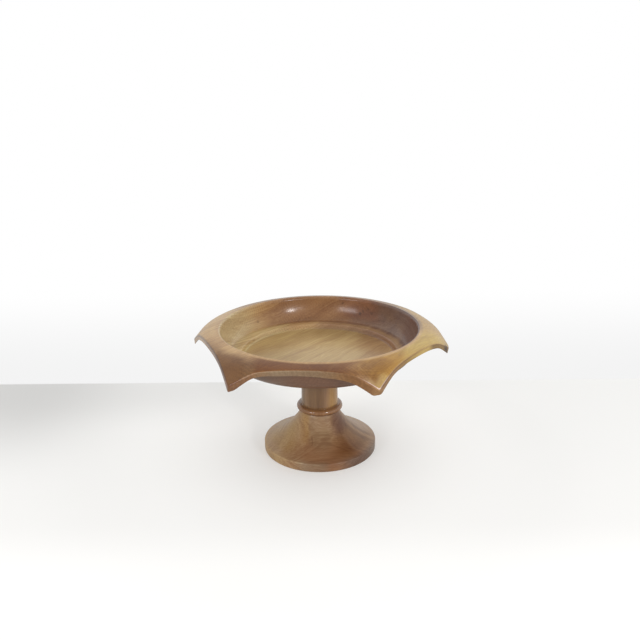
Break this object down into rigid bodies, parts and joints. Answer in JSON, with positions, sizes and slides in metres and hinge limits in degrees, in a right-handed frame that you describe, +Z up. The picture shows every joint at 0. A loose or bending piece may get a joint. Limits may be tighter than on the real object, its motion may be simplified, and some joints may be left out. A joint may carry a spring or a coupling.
{
  "type": "wooden_pedestal_bowl",
  "caption": "Turned wooden pedestal fruit bowl with a round bowl, a rolled rim cut by flat sides into drooping tips, a beaded stem and a flared round foot.",
  "frame": {"origin": "middle of the underside of the foot, on the surface it stands on", "axes": "+X towards one of the six drooping tips, +Y away from the flat side that faces the front, +Z up the axis that all three pieces are turned about"},
  "size_m": [0.2664, 0.2342, 0.1376],
  "materials": {
    "foot_wood": "waxed satin, grain lying level",
    "stem_wood": "waxed satin, grain upright",
    "bowl_wood": "waxed satin, grain lying level"
  },
  "bodies": {
    "root": {"foot": "foot_wood", "stem": "stem_wood", "bowl": "bowl_wood"}
  },
  "joints": []
}
